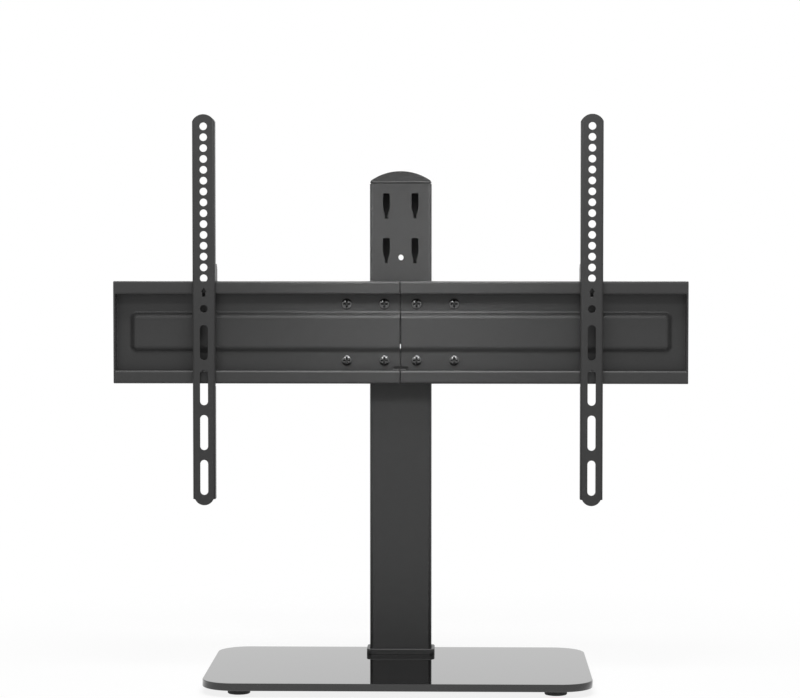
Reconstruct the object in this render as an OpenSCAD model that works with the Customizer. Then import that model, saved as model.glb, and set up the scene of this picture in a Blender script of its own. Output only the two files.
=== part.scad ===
// Table-top television stand: a glass base on four feet, a slotted steel post, and a
// bracket that hooks into the post and carries two hook-on arms for the television.
// Millimetres. X runs to the right, Y to the back and Z up.
// The origin is on the floor, under the middle of the glass.

/* [Glass base] */
// Width of the glass plate
glass_w = 415; // [360:5:480]
// Depth of the glass plate
glass_d = 244; // [230:1:300]
// Thickness of the glass plate
glass_t = 8; // [6:0.5:12]
// Radius of the glass plate's corners
glass_corner_r = 35; // [20:1:50]
// Width of the ground bevel along the glass plate's edges
glass_bevel = 0.6; // [0.4:0.1:1.5]

/* [Feet] */
// Diameter of a foot
foot_d = 24; // [18:1:30]
// Height of a foot
foot_h = 7; // [7:0.5:12]
// Distance from the glass plate's side to a foot's middle
foot_inset_x = 39.5; // [25:0.5:50]
// Distance from the glass plate's front or back to a foot's middle
foot_inset_y = 28; // [25:0.5:45]

/* [Post] */
// Width of the post
post_w = 69; // [60:1:80]
// Depth of the post, front to back
post_d = 30; // [26:1:40]
// Thickness of the post's wall
post_wall = 2; // [1.5:0.1:2.5]
// Height of the post's tube
post_h = 528; // [480:1:600]
// Outer radius of the post's corners
post_corner_r = 3.5; // [3:0.1:5]
// Distance from the glass plate's back edge to the middle of the post
post_inset = 35.5; // [30:0.5:40]

/* [Height slots] */
// Number of rows of slots
slot_rows = 4; // [4:1:6]
// Distance from one row to the next
slot_pitch = 50; // [45:1:60]
// Distance between the two slots of a row
slot_spacing = 32; // [28:1:40]
// Width of a slot's upper part
slot_w = 7.5; // [6:0.1:9]
// Height of a slot's wide upper part
slot_wide_h = 16; // [15:0.5:20]
// Height of the taper between a slot's wide part and its neck
slot_taper_h = 8; // [6:0.5:10]
// Height of a slot's neck
slot_neck_h = 4; // [3:0.5:5]
// Distance from the post's top to the first row
slot_first = 11; // [9:0.5:15]
// Row that the upper hooks hang in
hook_row = 3; // [1:1:3]
// Diameter of the locking screw's holes
lock_hole_d = 6.5; // [5:0.1:8]

/* [Collar and cap] */
// Margin of the collar round the post
collar_margin = 3.6; // [2:0.1:6]
// Height of the collar
collar_h = 6; // [4:0.5:10]
// Height of the cap's arch above the post
cap_rise = 14; // [10:0.5:18]

/* [Rails] */
// Length of the two rails together, with the seam between them
rails_l = 639; // [600:1:700]
// Height of a rail
rail_h = 114; // [108:0.5:130]
// Depth of a rail, from its back to the front of its lips
rail_depth = 18; // [16:0.5:24]
// Thickness of a rail's sheet
rail_sheet = 2; // [1.5:0.1:2.5]
// Height of a rail's turned-in lips
rail_lip_h = 14.6; // [10:0.2:16]
// Width of the seam between the two rails
rail_seam = 1; // [0.6:0.1:4]
// Height of the pressed panel
panel_h = 47; // [40:0.5:48]
// How far the pressed panel stands out of the rail
panel_rise = 4; // [2:0.1:5]
// Width of the pressed panel's sloping border
panel_slope = 8.4; // [5:0.1:8.8]

/* [Hook plate] */
// Width of the hook plate
hook_plate_w = 150; // [140:1:170]
// Height of the hook plate
hook_plate_h = 88; // [80:1:100]
// Thickness of the hook plate
hook_plate_t = 4; // [3:0.2:6]
// Thickness of a hook
hook_t = 3; // [2.5:0.1:4]
// Height of a hook's shank
hook_shank_h = 10; // [8:0.5:11]
// How far a hook's lip drops behind the post's wall
hook_drop = 5; // [4:0.5:6]

/* [Arms] */
// Length of an arm
arm_l = 434; // [430:1:480]
// Width of an arm
arm_w = 25; // [23:0.5:30]
// Thickness of an arm's sheet
arm_sheet = 2; // [1.5:0.1:2.5]
// Depth of an arm's flanges
arm_flange = 12; // [9:0.5:14]
// Distance from the middle of the stand to an arm
arm_x = 215; // [105:1:295]
// Number of round holes in the upper row
hole_count = 15; // [10:1:15]
// Distance from one round hole to the next
hole_pitch = 12; // [11:0.5:12]
// Diameter of a round hole
hole_d = 8.4; // [6:0.2:9]
// Number of long slots
long_slot_count = 4; // [2:1:4]
// Length of a long slot
long_slot_l = 39; // [30:1:42]
// Width of a long slot
long_slot_w = 8.8; // [7:0.2:10]

/* [Hidden] */
$fn = 72;

// How far every cut runs past the face that it opens
overrun = 1;

// How far an arc's flat piece reaches into what carries it
arc_root = 0.5;

// Clearances
press_gap = 0.1;
thread_gap = 0.05;
bolt_gap = 0.2;
collar_gap = 0.2;
slide_gap = 0.2;
swing_gap = 3;
hook_side_gap = 0.2;
hook_back_gap = 0.4;
bracket_gap = 0.5;
floor_gap = 1;

// Fastening under the post: two countersunk bolts through the glass
bolt_d = 8;
bolt_l = 25;
bolt_spacing = 40;
bolt_head_d = 16;
bolt_head_h = 4.4;
bolt_socket_d = 5.8;
bolt_socket_h = 2.5;
glass_hole_d = 14;
gasket_t = 1;
under_pad_t = 1;
under_plate_w = 120;
under_plate_d = 56;
under_plate_corner_r = 6;
foot_block_h = 12;
foot_bevel = 0.8;
collar_bevel = 0.6;

// Cap on the post
cap_neck_h = 1.2;
cap_neck_inset = 1;
cap_rim_h = 1.5;
cap_lean = 0.8;
cap_plug_h = 8;
cap_plug_wall = 2;

// Locking screw's holes, measured down from the top of the row beside them
lock_drop = 21.5;

// Round upper corners of the height slots
slot_corner_r = 1.5;

// Rails
rail_bend_inside = 0.4;
rail_mid_rise = 23.2;
rail_tip_h = 1.7;
rail_tip_depth = 1.2;
panel_end_margin = 16;
panel_corner_r = 9;
panel_steps = 5;
relief_slot_w = 8.1;
relief_slot_h = 2.3;
relief_slot_rise = 15.6;
relief_leg_l = 3;

// Screws that hold the rails to the hook plate
screw_d = 6;
screw_hole_d = 6.5;
screw_inner_x = 18;
screw_outer_x = 60;
screw_z = 31.6;
screw_head_d = 11.5;
screw_head_h = 3.2;
screw_head_side_h = 1.4;
screw_end_gap = 0.2;
cross_l = 7.2;
cross_w = 2;
cross_depth = 2;

// Hook plate and its blades
hook_plate_corner_r = 6;
blade_spine = 3;
blade_margin = 4;
hook_lip_t = 3;
hook_nose = 3;
lift_slope_share = 2;

// Arms
arm_gap = 5.5;
arm_shift = -2.8;
arm_bend_inside = 0.2;
arm_rise = 184.8;
arm_top_rise = 8.2;
arm_tail_rise = 6.8;
arm_hook_h = 19;
arm_hook_t = 4;
arm_hook_tail = 10;
arm_hook_bevel = 6;
hole_first = 13.4;
arrow_gap = 15.6;
lone_hole_gap = 18.4;
long_slot_gap = 37.5;
long_slot_pitch = 50;
arrow_h = 10;
arrow_head_h = 4.9;
arrow_head_w = 6.2;
arrow_stem_w = 3.4;

// Heights
glass_top = foot_h + glass_t;
post_z = glass_top + gasket_t;
post_top = post_z + post_h;
slot_h = slot_wide_h + slot_taper_h + slot_neck_h;
slot_neck_w = hook_t + 2 * hook_side_gap;
lower_row = hook_row + 1;
rail_mid = row_seat(lower_row) + rail_mid_rise;
rail_top = rail_mid + rail_h / 2;
rail_bottom = rail_mid - rail_h / 2;
arm_top = rail_top + arm_rise;

// An arm's pattern, measured down from its first hole
arrow_below = (hole_count - 1) * hole_pitch + arrow_gap;
lone_hole_below = arrow_below + lone_hole_gap;
long_slot_below = lone_hole_below + long_slot_gap;

// Outside of the bends
rail_bend_r = rail_sheet + rail_bend_inside;
arm_bend_r = arm_sheet + arm_bend_inside;

// Places from front to back
post_y = glass_d / 2 - post_inset;
post_front = post_y - post_d / 2;
blade_back = post_front - bracket_gap;
plate_back = blade_back - blade_spine;
rail_back = plate_back - hook_plate_t;
rail_face = rail_back - rail_sheet;
lip_front = rail_back - rail_depth;
arm_front = lip_front - arm_gap - arm_sheet;
arm_reach = rail_back + slide_gap + arm_hook_t - arm_front;

function row_top(row) = post_top - slot_first - (row - 1) * slot_pitch;
function row_seat(row) = row_top(row) - slot_h;
function arc_r(chord, rise) = (chord * chord / 4 + rise * rise) / (2 * rise);

// Share of the panel's rise that a share of its border's width has reached.
// A pressing bends sharply at its foot and rolls off slowly at its shoulder.
function pressed(share) = pow(share * (2 - share), 2);

// Shapes that several pieces share

// A rectangle in the plane, with round corners
module round_rect(w, d, r) {
    square([w - 2 * r, d], center = true);
    square([w, d - 2 * r], center = true);
    for (sx = [-1, 1], sy = [-1, 1])
        translate([sx * (w / 2 - r), sy * (d / 2 - r)])
            circle(r = r);
}

// An upright slot with round ends
module upright_slot(w, l) {
    square([w, l - w], center = true);
    for (end = [-1, 1])
        translate([0, end * (l - w) / 2])
            circle(d = w);
}

// A flat slab with round corners, standing on its own base
module round_slab(w, d, h, r) {
    linear_extrude(height = h)
        round_rect(w, d, r);
}

// A slab whose sides lean in by the same inset all round
module leaning_slab(w, d, h, r, inset) {
    for (sx = [-1, 1], sy = [-1, 1])
        translate([sx * (w / 2 - r), sy * (d / 2 - r), 0])
            cylinder(h = h, r1 = r, r2 = r - inset);
    along_y(d - 2 * r, center = true)
        leaning_profile(w, h, inset);
    along_x(w - 2 * r, center = true)
        leaning_profile(d, h, inset);
}

module leaning_profile(w, h, inset) {
    polygon([[-w / 2, 0], [w / 2, 0], [w / 2 - inset, h], [inset - w / 2, h]]);
}

// Extrudes a profile drawn in Y and Z along X
module along_x(length, center = false) {
    rotate([90, 0, 90])
        linear_extrude(height = length, center = center)
            children();
}

// Extrudes a profile drawn in X and Z along Y, to the back
module along_y(length, center = false) {
    translate([0, center ? 0 : length, 0])
        rotate([90, 0, 0])
            linear_extrude(height = length, center = center)
                children();
}

// A round bar that runs to the back from its front end
module bar_y(d, length) {
    along_y(length)
        circle(d = d);
}

// Part of a disc, between a chord and the top of its arc, hanging from its top.
// Below the chord a short root goes on into what carries it.
module arc_cap(chord, rise) {
    radius = arc_r(chord, rise);
    intersection() {
        translate([0, -radius])
            circle(r = radius);
        translate([-chord / 2, -rise - arc_root])
            square([chord, rise + arc_root]);
    }
}

module at_bolts() {
    for (side = [-1, 1])
        translate([side * bolt_spacing / 2, post_y, 0])
            children();
}

module at_screws(side) {
    for (x = [screw_inner_x, screw_outer_x], z = [-screw_z, screw_z])
        translate([side * x, 0, rail_mid + z])
            children();
}

// Glass base and feet

module glass_base() {
    color([0.06, 0.06, 0.07])
        translate([0, 0, foot_h])
            difference() {
                union() {
                    translate([0, 0, glass_bevel])
                        round_slab(glass_w, glass_d, glass_t - 2 * glass_bevel, glass_corner_r);
                    translate([0, 0, glass_t - glass_bevel])
                        leaning_slab(glass_w, glass_d, glass_bevel, glass_corner_r, glass_bevel);
                    translate([0, 0, glass_bevel])
                        mirror([0, 0, 1])
                            leaning_slab(glass_w, glass_d, glass_bevel, glass_corner_r, glass_bevel);
                }
                at_bolts()
                    translate([0, 0, -overrun])
                        cylinder(h = glass_t + 2 * overrun, d = glass_hole_d);
            }
}

module foot(side, end) {
    color([0.12, 0.12, 0.12])
        translate([side * (glass_w / 2 - foot_inset_x), end * (glass_d / 2 - foot_inset_y), 0]) {
            cylinder(h = foot_bevel, d1 = foot_d - 2 * foot_bevel, d2 = foot_d);
            translate([0, 0, foot_bevel])
                cylinder(h = foot_h - foot_bevel, d = foot_d);
        }
}

module foot_front_left() {
    foot(-1, -1);
}

module foot_front_right() {
    foot(1, -1);
}

module foot_rear_left() {
    foot(-1, 1);
}

module foot_rear_right() {
    foot(1, 1);
}

// Fastening of the post through the glass

module under_pad() {
    color([0.1, 0.1, 0.1])
        difference() {
            translate([0, post_y, foot_h - under_pad_t])
                round_slab(under_plate_w, under_plate_d, under_pad_t, under_plate_corner_r);
            at_bolts()
                translate([0, 0, foot_h - under_pad_t - overrun])
                    cylinder(h = under_pad_t + 2 * overrun, d = bolt_d + 2 * bolt_gap);
        }
}

module under_plate() {
    color([0.6, 0.6, 0.62])
        difference() {
            translate([0, post_y, floor_gap])
                round_slab(
                    under_plate_w,
                    under_plate_d,
                    foot_h - under_pad_t - floor_gap,
                    under_plate_corner_r
                );
            at_bolts() {
                cylinder(h = foot_h + overrun, d = bolt_d + 2 * bolt_gap);
                translate([0, 0, floor_gap])
                    cylinder(
                        h = bolt_head_h,
                        d1 = bolt_head_d + 2 * bolt_gap,
                        d2 = bolt_d + 2 * bolt_gap
                    );
            }
        }
}

module bolt_sleeves() {
    color([0.85, 0.85, 0.82])
        at_bolts()
            translate([0, 0, foot_h])
                difference() {
                    cylinder(h = glass_t, d = glass_hole_d - 2 * press_gap);
                    translate([0, 0, -overrun])
                        cylinder(h = glass_t + 2 * overrun, d = bolt_d + 2 * bolt_gap);
                }
}

module base_bolts() {
    color([0.7, 0.7, 0.72])
        at_bolts()
            translate([0, 0, floor_gap])
                difference() {
                    union() {
                        cylinder(h = bolt_head_h, d1 = bolt_head_d, d2 = bolt_d);
                        cylinder(h = bolt_l, d = bolt_d);
                    }
                    translate([0, 0, -overrun])
                        cylinder(h = bolt_socket_h + overrun, d = bolt_socket_d, $fn = 6);
                }
}

module post_gasket() {
    color([0.08, 0.08, 0.08])
        difference() {
            translate([0, post_y, glass_top])
                round_slab(post_w, post_d, gasket_t, post_corner_r);
            at_bolts()
                translate([0, 0, glass_top - overrun])
                    cylinder(h = gasket_t + 2 * overrun, d = bolt_d + 2 * bolt_gap);
        }
}

module post_foot_block() {
    inner_w = post_w - 2 * (post_wall + press_gap);
    inner_d = post_d - 2 * (post_wall + press_gap);
    color([0.45, 0.45, 0.47])
        difference() {
            translate([0, post_y, post_z])
                round_slab(inner_w, inner_d, foot_block_h, post_corner_r - post_wall);
            at_bolts()
                translate([0, 0, post_z - overrun])
                    cylinder(h = foot_block_h + 2 * overrun, d = bolt_d + 2 * thread_gap);
        }
}

module base_collar() {
    collar_w = post_w + 2 * collar_margin;
    collar_d = post_d + 2 * collar_margin;
    collar_corner_r = post_corner_r + collar_margin / 2;
    color([0.17, 0.17, 0.17])
        translate([0, post_y, glass_top])
            difference() {
                union() {
                    round_slab(collar_w, collar_d, collar_h - collar_bevel, collar_corner_r);
                    translate([0, 0, collar_h - collar_bevel])
                        leaning_slab(collar_w, collar_d, collar_bevel, collar_corner_r, collar_bevel);
                }
                translate([0, 0, -overrun])
                    round_slab(
                        post_w + 2 * collar_gap,
                        post_d + 2 * collar_gap,
                        collar_h + 2 * overrun,
                        post_corner_r + collar_gap
                    );
            }
}

// Post

// Bottle-shaped slot, hanging from the middle of its top edge, with round upper corners
module bottle_slot() {
    shoulder = -slot_wide_h;
    neck = shoulder - slot_taper_h;
    flat = slot_w - 2 * slot_corner_r;
    translate([-flat / 2, -slot_corner_r])
        square([flat, slot_corner_r]);
    for (side = [-1, 1])
        translate([side * flat / 2, -slot_corner_r])
            circle(r = slot_corner_r);
    polygon([
        [-slot_w / 2, -slot_corner_r], [slot_w / 2, -slot_corner_r], [slot_w / 2, shoulder],
        [slot_neck_w / 2, neck], [slot_neck_w / 2, -slot_h],
        [-slot_neck_w / 2, -slot_h], [-slot_neck_w / 2, neck], [-slot_w / 2, shoulder]
    ]);
}

module post() {
    color([0.22, 0.22, 0.22])
        difference() {
            translate([0, post_y, post_z])
                round_slab(post_w, post_d, post_h, post_corner_r);
            translate([0, post_y, post_z - overrun])
                round_slab(
                    post_w - 2 * post_wall,
                    post_d - 2 * post_wall,
                    post_h + 2 * overrun,
                    post_corner_r - post_wall
                );
            for (row = [1 : slot_rows], side = [-1, 1])
                translate([side * slot_spacing / 2, post_front - overrun, row_top(row)])
                    along_y(post_wall + 2 * overrun)
                        bottle_slot();
            for (row = [2 : slot_rows])
                translate([0, post_front - overrun, row_top(row) - lock_drop])
                    bar_y(lock_hole_d, post_d + 2 * overrun);
        }
}

module post_cap() {
    arch_w = post_w - 2 * cap_lean;
    arch_d = post_d - 2 * cap_lean;
    neck_w = post_w - 2 * cap_neck_inset;
    neck_d = post_d - 2 * cap_neck_inset;
    plug_w = post_w - 2 * (post_wall + press_gap);
    plug_d = post_d - 2 * (post_wall + press_gap);
    plug_corner_r = post_corner_r - post_wall;
    color([0.3, 0.3, 0.3])
        translate([0, post_y, post_top]) {
            round_slab(neck_w, neck_d, cap_neck_h, post_corner_r - cap_neck_inset);
            translate([0, 0, cap_neck_h])
                leaning_slab(post_w, post_d, cap_rim_h, post_corner_r, cap_lean);
            intersection() {
                translate([0, 0, cap_rise])
                    along_y(post_d, center = true)
                        arc_cap(post_w, cap_rise - cap_neck_h - cap_rim_h);
                translate([0, 0, cap_neck_h])
                    round_slab(arch_w, arch_d, cap_rise, post_corner_r - cap_lean);
            }
            difference() {
                translate([0, 0, -cap_plug_h])
                    round_slab(plug_w, plug_d, cap_plug_h, plug_corner_r);
                translate([0, 0, -cap_plug_h - overrun])
                    linear_extrude(height = cap_plug_h + overrun)
                        square(
                            [plug_w - 2 * cap_plug_wall, plug_d - 2 * cap_plug_wall],
                            center = true
                        );
            }
        }
}

// Bracket

module hook_plate() {
    color([0.2, 0.2, 0.2])
        difference() {
            translate([0, rail_back, rail_mid])
                along_y(hook_plate_t)
                    round_rect(hook_plate_w, hook_plate_h, hook_plate_corner_r);
            for (side = [-1, 1])
                at_screws(side)
                    translate([0, rail_back - overrun, 0])
                        bar_y(screw_d + 2 * thread_gap, hook_plate_t + 2 * overrun);
            translate([0, rail_back - overrun, row_top(lower_row) - lock_drop])
                bar_y(lock_hole_d, hook_plate_t + 2 * overrun);
        }
}

// A hook in side view. Its corner is on the slot's lower edge, at the post's front face.
// The inside of its lip leans at the slope on which the bracket is lifted off.
module hook_profile() {
    inside = post_wall + hook_back_gap;
    lip = inside + hook_drop / lift_slope_share;
    back = lip + hook_lip_t;
    polygon([
        [-bracket_gap - blade_spine / 2, 0], [inside, 0], [lip, -hook_drop],
        [back, -hook_drop], [back, hook_shank_h - hook_nose],
        [back - hook_nose, hook_shank_h], [-bracket_gap - blade_spine / 2, hook_shank_h]
    ]);
}

module hook_blade(side) {
    spine_bottom = row_seat(lower_row) - blade_margin;
    spine_top = row_seat(hook_row) + hook_shank_h + blade_margin;
    color([0.25, 0.25, 0.26])
        translate([side * slot_spacing / 2 - hook_t / 2, 0, 0]) {
            translate([0, plate_back, spine_bottom])
                cube([hook_t, blade_spine, spine_top - spine_bottom]);
            for (row = [hook_row, lower_row])
                translate([0, post_front, row_seat(row)])
                    along_x(hook_t)
                        hook_profile();
        }
}

module left_hook_blade() {
    hook_blade(-1);
}

module right_hook_blade() {
    hook_blade(1);
}

// Cross-section of a rail, open to the front between its lips, whose tips are chamfered
module rail_section() {
    front = -rail_depth / 2;
    mouth = rail_h / 2 - rail_lip_h;
    translate([rail_back - rail_depth / 2, rail_mid])
        difference() {
            round_rect(rail_depth, rail_h, rail_bend_r);
            round_rect(rail_depth - 2 * rail_sheet, rail_h - 2 * rail_sheet, rail_bend_inside);
            polygon([
                [0, mouth], [front + rail_tip_depth, mouth],
                [front, mouth + rail_tip_h], [front - overrun, mouth + rail_tip_h],
                [front - overrun, -mouth - rail_tip_h], [front, -mouth - rail_tip_h],
                [front + rail_tip_depth, -mouth], [0, -mouth]
            ]);
        }
}

// The pressed panel's form, its base at the given place and its face to the front
module panel_form(base_y) {
    translate([0, base_y, rail_mid])
        rotate([90, 0, 0])
            for (i = [1 : panel_steps])
                panel_step((i - 1) / panel_steps, i / panel_steps);
}

// The part of the panel between two shares of its border's width
module panel_step(from, to) {
    inset = from * panel_slope;
    translate([0, 0, pressed(from) * panel_rise])
        leaning_slab(
            rails_l - 2 * (panel_end_margin + inset),
            panel_h - 2 * inset,
            (pressed(to) - pressed(from)) * panel_rise,
            panel_corner_r - inset,
            (to - from) * panel_slope
        );
}

// Both rails as one bar, before the seam parts them
module rail_bar() {
    difference() {
        union() {
            along_x(rails_l, center = true)
                rail_section();
            for (end = [-1, 1])
                translate([end * (rails_l - rail_sheet) / 2, rail_back - rail_depth / 2, rail_mid])
                    along_x(rail_sheet, center = true)
                        round_rect(rail_depth, rail_h, rail_bend_r);
            panel_form(rail_face);
        }
        panel_form(rail_back);
        for (side = [-1, 1])
            at_screws(side)
                translate([0, rail_face - overrun, 0])
                    bar_y(screw_hole_d, rail_sheet + 2 * overrun);
        translate([-relief_slot_w, rail_face - overrun, rail_bottom + relief_slot_rise])
            cube([2 * relief_slot_w, rail_sheet + 2 * overrun, relief_slot_h]);
        translate([
            relief_slot_w - relief_slot_h,
            rail_face - overrun,
            rail_bottom + relief_slot_rise - relief_leg_l
        ])
            cube([relief_slot_h, rail_sheet + 2 * overrun, relief_leg_l + relief_slot_h]);
    }
}

module rail_half(side) {
    depth = rail_depth + 2 * overrun;
    height = rail_h + 2 * overrun;
    half = rails_l / 2 + overrun;
    color([0.26, 0.26, 0.26])
        intersection() {
            rail_bar();
            translate([
                side > 0 ? rail_seam / 2 : -half,
                lip_front - overrun,
                rail_bottom - overrun
            ])
                cube([half - rail_seam / 2, depth, height]);
        }
}

module left_rail() {
    rail_half(-1);
}

module right_rail() {
    rail_half(1);
}

// A pan-head screw with a cross recess. It runs to the back, its head on the rail's face.
module pan_screw() {
    crown_r = arc_r(screw_head_d, screw_head_h - screw_head_side_h);
    difference() {
        union() {
            translate([0, -screw_head_h, 0])
                intersection() {
                    bar_y(screw_head_d, screw_head_h);
                    translate([0, crown_r, 0])
                        rotate([90, 0, 0])
                            sphere(r = crown_r);
                }
            bar_y(screw_d, rail_sheet + hook_plate_t - screw_end_gap);
        }
        for (turn = [0, 90])
            translate([0, -screw_head_h - overrun, 0])
                rotate([0, turn, 0])
                    translate([-cross_l / 2, 0, -cross_w / 2])
                        cube([cross_l, cross_depth + overrun, cross_w]);
    }
}

module rail_screws(side) {
    color([0.1, 0.1, 0.1])
        at_screws(side)
            translate([0, rail_face, 0])
                pan_screw();
}

module left_rail_screws() {
    rail_screws(-1);
}

module right_rail_screws() {
    rail_screws(1);
}

// Arms

// Side view of an arm, whose ends the front view cuts. Its front is at zero, and heights
// are measured from the arm's top. The upper hook lies over the rail and drops behind it.
module arm_side() {
    hook_inside = rail_back + slide_gap - arm_front;
    hook_back = hook_inside + arm_hook_t;
    notch = lip_front - slide_gap - arm_front;
    seat = slide_gap - arm_rise;
    under = -arm_rise - rail_h - swing_gap;
    hook_top = seat + arm_hook_h;
    polygon([
        [0, -arm_l - overrun], [arm_flange, -arm_l - overrun], [arm_flange, under],
        [notch, under], [notch, seat], [hook_inside, seat],
        [hook_inside, seat - arm_hook_tail], [hook_back, seat - arm_hook_tail],
        [hook_back, hook_top - arm_hook_bevel], [hook_back - arm_hook_bevel, hook_top],
        [arm_flange, hook_top], [arm_flange, overrun], [0, overrun]
    ]);
}

// Front view of an arm. Its top end is an arc as wide as the arm, and its tail is a
// narrower one that leaves only the face's flat between the bends.
module arm_outline() {
    straight = arm_l - arm_top_rise - arm_tail_rise;
    arc_cap(arm_w, arm_top_rise);
    translate([-arm_w / 2 - overrun, -arm_top_rise - straight])
        square([arm_w + 2 * overrun, straight]);
    translate([0, -arm_l])
        mirror([0, 1])
            arc_cap(arm_w - 2 * arm_bend_r, arm_tail_rise);
}

// The bent channel, longer than the arm and much deeper, for the two views to cut
module arm_channel() {
    translate([0, 0, -arm_l - overrun])
        linear_extrude(height = arm_l + 2 * overrun)
            difference() {
                translate([0, arm_reach])
                    round_rect(arm_w, 2 * arm_reach, arm_bend_r);
                translate([0, arm_reach + arm_sheet])
                    round_rect(arm_w - 2 * arm_sheet, 2 * arm_reach, arm_bend_inside);
            }
}

module arrow_shape() {
    polygon([
        [0, 0], [arrow_head_w / 2, -arrow_head_h], [arrow_stem_w / 2, -arrow_head_h],
        [arrow_stem_w / 2, -arrow_h], [-arrow_stem_w / 2, -arrow_h],
        [-arrow_stem_w / 2, -arrow_head_h], [-arrow_head_w / 2, -arrow_head_h]
    ]);
}

// Every opening in the face of an arm, as a flat pattern that hangs from the arm's top
module arm_openings() {
    translate([0, -hole_first]) {
        for (i = [0 : hole_count - 1])
            translate([0, -i * hole_pitch])
                circle(d = hole_d);
        translate([0, -lone_hole_below])
            circle(d = hole_d);
        translate([0, arrow_h / 2 - arrow_below])
            arrow_shape();
        for (i = [0 : long_slot_count - 1])
            translate([0, -long_slot_below - i * long_slot_pitch])
                upright_slot(long_slot_w, long_slot_l);
    }
}

module arm(side) {
    color([0.28, 0.28, 0.28])
        translate([side * arm_x + arm_shift, arm_front, arm_top])
            difference() {
                intersection() {
                    arm_channel();
                    along_x(arm_w + 2 * overrun, center = true)
                        arm_side();
                    translate([0, -overrun, 0])
                        along_y(arm_reach + 2 * overrun)
                            arm_outline();
                }
                translate([0, -overrun, 0])
                    along_y(arm_sheet + 2 * overrun)
                        arm_openings();
            }
}

module left_arm() {
    arm(-1);
}

module right_arm() {
    arm(1);
}

glass_base();
foot_front_left();
foot_front_right();
foot_rear_left();
foot_rear_right();
under_plate();
under_pad();
bolt_sleeves();
base_bolts();
post_gasket();
base_collar();
post();
post_foot_block();
post_cap();
hook_plate();
left_hook_blade();
right_hook_blade();
left_rail();
right_rail();
left_rail_screws();
right_rail_screws();
left_arm();
right_arm();
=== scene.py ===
import math

import bpy
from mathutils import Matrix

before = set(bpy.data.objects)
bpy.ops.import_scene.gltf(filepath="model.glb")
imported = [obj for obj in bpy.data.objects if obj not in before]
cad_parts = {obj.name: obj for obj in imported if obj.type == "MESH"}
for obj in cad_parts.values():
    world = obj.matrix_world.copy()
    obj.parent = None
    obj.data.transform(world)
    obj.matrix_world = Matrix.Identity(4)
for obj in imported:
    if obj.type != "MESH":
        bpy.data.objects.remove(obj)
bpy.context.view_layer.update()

# Camera, worked out from the photograph's perspective. Metres and degrees.
CAMERA_PLACE = (0.062, -2.706, 0.4732)
CAMERA_PITCH = 87.645
CAMERA_YAW = 1.294
CAMERA_LENS = 111.6
CAMERA_NEAR = 0.05
CAMERA_FAR = 100


def make_camera():
    camera = bpy.data.cameras.new("camera")
    camera.lens = CAMERA_LENS
    camera.clip_start = CAMERA_NEAR
    camera.clip_end = CAMERA_FAR
    camera_object = bpy.data.objects.new("camera", camera)
    camera_object.location = CAMERA_PLACE
    camera_object.rotation_euler = (math.radians(CAMERA_PITCH), 0, math.radians(CAMERA_YAW))
    bpy.context.collection.objects.link(camera_object)
    bpy.context.scene.camera = camera_object


# Node helpers


def new_tree(owner):
    """The emptied node tree of a material or world."""
    owner.use_nodes = True
    tree = owner.node_tree
    tree.nodes.clear()
    return tree


def node(tree, kind, **values):
    """Adds a node and sets its values.

    A value whose name is an attribute is set on the node, any other on the socket of that name.
    """
    made = tree.nodes.new("ShaderNode" + kind)
    for name, value in values.items():
        if hasattr(made, name):
            setattr(made, name, value)
        else:
            made.inputs[name.replace("_", " ")].default_value = value
    return made


def map_range(tree, low, high, **values):
    """A node that maps its value to the range from low to high."""
    return node(tree, "MapRange", To_Min=low, To_Max=high, **values)


def grey(value):
    """An even colour with alpha, for a node's socket."""
    return (value, value, value, 1)


def black(value):
    """An even colour without alpha, for a finish."""
    return (value, value, value)


# Light: lamps and a faint sky light the object, and rays that show the background see white

SKY_LEVEL = 0.15
BACKDROP_LEVEL = 1.0

WIDE_SPREAD = 180
# The narrow lamps that light the bracket's middle
BEAM = dict(target=(0.01, 0.06, 0.45), width=0.23, height=0.2, spread=16)

# Metres, watts and degrees
LAMPS = {
    "top_light": dict(place=(0, -0.35, 1.6), target=(0, 0, 0.35), width=0.9, height=0.6, power=14.5),
    "near_light": dict(
        place=(0.06, -0.62, 0.88), target=(0.03, 0.05, 0.4), width=0.4, height=0.4, power=0.9
    ),
    "strip_light": dict(
        place=(0, -0.85, 1.08), target=(0, 0.05, 0.4), width=1.6, height=0.08, power=2.8
    ),
    "low_light": dict(
        place=(0.05, -1.3, 0.25), target=(0, 0.07, 0.08), width=0.3, height=0.2, power=0.022, spread=20
    ),
    "back_light": dict(place=(0, 1.6, 1.5), target=(0, 0, 0.35), width=1.6, height=0.8, power=16),
    "middle_light_left": dict(place=(-0.29, -0.57, 0.86), power=0.042, **BEAM),
    "middle_light_top": dict(place=(0.02, -0.56, 0.97), power=0.03, **BEAM),
    "middle_light_right": dict(place=(0.31, -0.5, 0.99), power=0.046, **BEAM),
}


def seen_directly(tree):
    """1 for rays that show the background: from the camera, off gloss or through glass."""
    path = node(tree, "LightPath")
    first = node(tree, "Math", operation="MAXIMUM")
    second = node(tree, "Math", operation="MAXIMUM")
    tree.links.new(path.outputs["Is Camera Ray"], first.inputs[0])
    tree.links.new(path.outputs["Is Glossy Ray"], first.inputs[1])
    tree.links.new(first.outputs[0], second.inputs[0])
    tree.links.new(path.outputs["Is Transmission Ray"], second.inputs[1])
    return second.outputs[0]


def make_world():
    world = bpy.data.worlds.new("world")
    bpy.context.scene.world = world
    tree = new_tree(world)
    sky = node(tree, "Background", Color=grey(1), Strength=SKY_LEVEL)
    backdrop = node(tree, "Background", Color=grey(1), Strength=BACKDROP_LEVEL)
    mix = node(tree, "MixShader")
    out = node(tree, "OutputWorld")
    tree.links.new(seen_directly(tree), mix.inputs[0])
    tree.links.new(sky.outputs[0], mix.inputs[1])
    tree.links.new(backdrop.outputs[0], mix.inputs[2])
    tree.links.new(mix.outputs[0], out.inputs[0])


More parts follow.
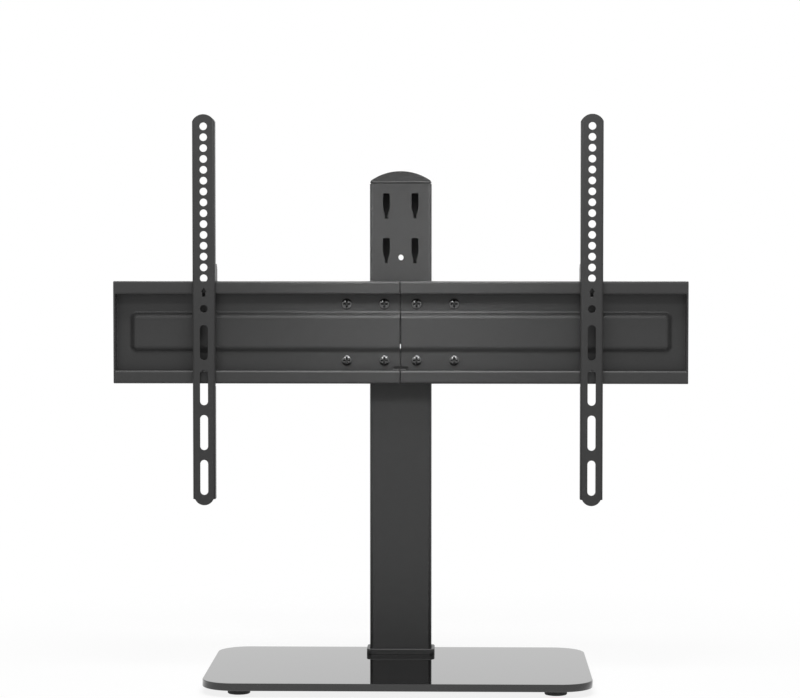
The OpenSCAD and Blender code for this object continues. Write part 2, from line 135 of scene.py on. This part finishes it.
def softbox(name, place, target, width, height, power, spread=WIDE_SPREAD):
    """A rectangular lamp that faces its target."""
    lamp = bpy.data.lights.new(name, "AREA")
    lamp.shape = "RECTANGLE"
    lamp.size = width
    lamp.size_y = height
    lamp.energy = power
    lamp.spread = math.radians(spread)
    lamp_object = bpy.data.objects.new(name, lamp)
    lamp_object.visible_camera = False
    lamp_object.location = place
    way = [t - p for t, p in zip(target, place)]
    flat = math.hypot(way[0], way[1])
    lamp_object.rotation_euler = (
        math.pi / 2 + math.atan2(way[2], flat),
        0,
        math.atan2(-way[0], way[1]),
    )
    bpy.context.collection.objects.link(lamp_object)
    return lamp_object


def make_lamps():
    """All lamps. The polished plate isn't lit by them, so that it mirrors only the white."""
    lamps = [softbox(name, **values) for name, values in LAMPS.items()]
    not_lit = bpy.data.collections.new("not_lit")
    not_lit.objects.link(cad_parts["glass_base"])
    not_lit.collection_objects[0].light_linking.link_state = "EXCLUDE"
    for lamp_object in lamps:
        lamp_object.light_linking.receiver_collection = not_lit


# Floor

FLOOR_HALF = 6.0
# Grey of the floor as it lights the object from below
FLOOR_BOUNCE = 0.75
# How strongly the object's shadow shows, and the reach from the middle where it fades out
SHADOW_SHARE = 0.15
SHADOW_FADE_START = 0.35
SHADOW_FADE_END = 0.8


def make_floor_material():
    """Seen directly, the floor is white like the backdrop, with a soft shadow near the object."""
    material = bpy.data.materials.new("floor")
    tree = new_tree(material)
    links = tree.links
    pale = node(tree, "BsdfDiffuse", Color=grey(FLOOR_BOUNCE))
    lit = node(tree, "BsdfDiffuse", Color=grey(1))
    white = node(tree, "Emission", Color=grey(1), Strength=BACKDROP_LEVEL)
    place = node(tree, "TexCoord")
    reach = node(tree, "VectorMath", operation="LENGTH")
    share = map_range(
        tree,
        1 - SHADOW_SHARE,
        1,
        interpolation_type="SMOOTHSTEP",
        From_Min=SHADOW_FADE_START,
        From_Max=SHADOW_FADE_END,
    )
    seen = node(tree, "MixShader")
    mix = node(tree, "MixShader")
    out = node(tree, "OutputMaterial")
    links.new(place.outputs["Object"], reach.inputs[0])
    links.new(reach.outputs["Value"], share.inputs["Value"])
    links.new(share.outputs[0], seen.inputs[0])
    links.new(lit.outputs[0], seen.inputs[1])
    links.new(white.outputs[0], seen.inputs[2])
    links.new(seen_directly(tree), mix.inputs[0])
    links.new(pale.outputs[0], mix.inputs[1])
    links.new(seen.outputs[0], mix.inputs[2])
    links.new(mix.outputs[0], out.inputs[0])
    return material


def make_floor():
    mesh = bpy.data.meshes.new("floor")
    corners = [(-1, -1), (1, -1), (1, 1), (-1, 1)]
    mesh.from_pydata([(x * FLOOR_HALF, y * FLOOR_HALF, 0) for x, y in corners], [], [(0, 1, 2, 3)])
    floor = bpy.data.objects.new("floor", mesh)
    bpy.context.collection.objects.link(floor)
    mesh.materials.append(make_floor_material())


# Finishes

GRAIN_NOISE = {"Detail": 3.0, "Roughness": 0.6}
PATCH_NOISE = {"Detail": 4.0, "Roughness": 0.55}
# Soft patches are this many times as wide as a grain
PATCH_WIDTH = 12.5
ROLL_SAMPLES = 8
CREVICE_SHADE_SAMPLES = 16
# Painted shade in recesses: how sharply the gloss darkens towards a recess, and its level outside one
CREVICE_SHADE_FALL = 3
GLOSS_LEVEL = 0.5


def paint_shade_in_crevices(tree, shader, shaded_crevice):
    """Paints shade into recesses narrower than crevice: their gloss is taken out where ambient
    occlusion finds them hidden.
    """
    painted_shade_mask = node(
        tree, "AmbientOcclusion", samples=CREVICE_SHADE_SAMPLES, only_local=True, Distance=shaded_crevice
    )
    fall = node(tree, "Math", operation="POWER")
    fall.inputs[1].default_value = CREVICE_SHADE_FALL
    level = node(tree, "Math", operation="MULTIPLY")
    level.inputs[1].default_value = GLOSS_LEVEL
    tree.links.new(painted_shade_mask.outputs["AO"], fall.inputs[0])
    tree.links.new(fall.outputs[0], level.inputs[0])
    tree.links.new(level.outputs[0], shader.inputs["Specular IOR Level"])


def finish(
    name,
    colour,
    rough,
    grain,
    depth,
    metallic=0.0,
    coat=0.0,
    patch=0.12,
    rough_patch=0.06,
    ior=1.5,
    soften=0.0,
    shaded_crevice=0.0,
):
    """A finish with a fine grain in relief, and soft patches in its colour and its gloss.

    grain is the size of a grain and depth its relief, both in metres. The light rolls
    over edges and creases as if they were round by soften. Recesses narrower than
    crevice get painted shade: their gloss is taken out.
    """
    material = bpy.data.materials.new(name)
    tree = new_tree(material)
    place = node(tree, "TexCoord")
    fine = node(tree, "TexNoise", Scale=1 / grain, **GRAIN_NOISE)
    broad = node(tree, "TexNoise", Scale=1 / (PATCH_WIDTH * grain), **PATCH_NOISE)
    tint = map_range(tree, 1 - patch, 1 + patch)
    paint = node(tree, "Mix", data_type="RGBA", blend_type="MULTIPLY")
    paint.inputs["Factor"].default_value = 1
    paint.inputs["A"].default_value = (*colour, 1)
    gloss = map_range(tree, rough - rough_patch, rough + rough_patch)
    relief = node(tree, "Bump", Strength=1.0, Distance=depth)
    rolled = node(tree, "Bevel", samples=ROLL_SAMPLES, Radius=soften)
    shader = node(tree, "BsdfPrincipled", Metallic=metallic, IOR=ior, Coat_Weight=coat)
    out = node(tree, "OutputMaterial")
    links = tree.links
    links.new(place.outputs["Object"], fine.inputs["Vector"])
    links.new(place.outputs["Object"], broad.inputs["Vector"])
    links.new(broad.outputs["Fac"], tint.inputs["Value"])
    links.new(tint.outputs[0], paint.inputs["B"])
    links.new(broad.outputs["Fac"], gloss.inputs["Value"])
    links.new(fine.outputs["Fac"], relief.inputs["Height"])
    links.new(rolled.outputs[0], relief.inputs["Normal"])
    links.new(paint.outputs["Result"], shader.inputs["Base Color"])
    links.new(gloss.outputs[0], shader.inputs["Roughness"])
    links.new(relief.outputs[0], shader.inputs["Normal"])
    links.new(shader.outputs[0], out.inputs[0])
    # Painted shade: gloss taken out of narrow recesses
    if shaded_crevice:
        paint_shade_in_crevices(tree, shader, shaded_crevice)
    return material


# A powder coat is even: its patches are faint
EVEN = {"patch": 0.05, "rough_patch": 0.015}

FINISHES = {
    "black_glass": dict(
        colour=black(0.018), rough=0.03, grain=0.02, depth=0.0, coat=0.45, rough_patch=0.01
    ),
    "rubber": dict(colour=black(0.03), rough=0.7, grain=0.0006, depth=0.00004),
    "rubber_sheet": dict(colour=black(0.03), rough=0.75, grain=0.0005, depth=0.00003),
    "powder_coat": dict(
        colour=black(0.052), rough=0.42, grain=0.0008, depth=0.00003, ior=1.3, **EVEN
    ),
    "bracket_coat": dict(
        colour=black(0.055), rough=0.32, grain=0.0008, depth=0.00002, ior=1.33, soften=0.0016, **EVEN
    ),
    "cap_plastic": dict(colour=black(0.04), rough=0.5, grain=0.0005, depth=0.00002, ior=1.3),
    "collar_plastic": dict(colour=black(0.035), rough=0.4, grain=0.0006, depth=0.00002, ior=1.35),
    "nylon": dict(colour=(0.75, 0.74, 0.7), rough=0.45, grain=0.001, depth=0.00001),
    "black_screws": dict(
        colour=black(0.02),
        rough=0.22,
        grain=0.0008,
        depth=0.000005,
        ior=1.85,
        rough_patch=0.03,
        # Painted shade in the cross recesses and the gaps around the heads
        shaded_crevice=0.003,
    ),
    "zinc_bolts": dict(
        colour=(0.6, 0.6, 0.61), rough=0.3, grain=0.0006, depth=0.00001, metallic=1.0
    ),
    "zinc_steel": dict(
        colour=(0.5, 0.5, 0.51), rough=0.35, grain=0.001, depth=0.00001, metallic=1.0
    ),
    "foot_block_steel": dict(
        colour=(0.35, 0.35, 0.36), rough=0.4, grain=0.001, depth=0.00001, metallic=1.0
    ),
}


# Edges

# Points of the CAD mesh that are closer than this are joined, in metres
WELD_REACH = 1e-6
# Faces that meet flatter than the first are joined, edges sharper than the second are rounded
FLAT_ANGLE = 0.4
SHARP_ANGLE = 35
EDGE_SEGMENTS = 2

# Nodes, their finish, and how far their sharp edges are rounded, in metres
DRESS = [
    (["glass_base"], "black_glass", 0.0003),
    (["foot_front_left", "foot_front_right"], "rubber", 0.0003),
    (["foot_rear_left", "foot_rear_right"], "rubber", 0.0003),
    (["under_plate"], "zinc_steel", 0.0003),
    (["under_pad", "post_gasket"], "rubber_sheet", 0.0002),
    (["bolt_sleeves"], "nylon", 0.0002),
    (["base_bolts"], "zinc_bolts", 0.0002),
    (["base_collar"], "collar_plastic", 0.0002),
    (["post", "left_arm", "right_arm"], "powder_coat", 0.0004),
    (["post_foot_block"], "foot_block_steel", 0.0003),
    (["post_cap"], "cap_plastic", 0.0005),
    (["hook_plate"], "bracket_coat", 0.0005),
    (["left_hook_blade", "right_hook_blade"], "bracket_coat", 0.0004),
    (["left_rail", "right_rail"], "bracket_coat", 0.00038),
    (["left_rail_screws", "right_rail_screws"], "black_screws", 0.0002),
]


def round_edges(piece, width):
    """Rounds a piece's sharp edges, after joining the mesh's triangles into whole faces."""
    weld = piece.modifiers.new("weld", "WELD")
    weld.merge_threshold = WELD_REACH
    whole = piece.modifiers.new("whole_faces", "DECIMATE")
    whole.decimate_type = "DISSOLVE"
    whole.angle_limit = math.radians(FLAT_ANGLE)
    bevel = piece.modifiers.new("edges", "BEVEL")
    bevel.width = width
    bevel.segments = EDGE_SEGMENTS
    bevel.limit_method = "ANGLE"
    bevel.angle_limit = math.radians(SHARP_ANGLE)
    bevel.use_clamp_overlap = False
    bevel.harden_normals = True


def dress_nodes():
    """Gives every CAD node its finish and rounds its edges."""
    materials = {slot: finish(slot, **values) for slot, values in FINISHES.items()}
    for names, slot, width in DRESS:
        for name in names:
            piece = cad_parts[name]
            piece.data.materials.clear()
            piece.data.materials.append(materials[slot])
            round_edges(piece, width)


bpy.context.scene.view_settings.view_transform = "Standard"
make_camera()
make_world()
make_lamps()
make_floor()
dress_nodes()
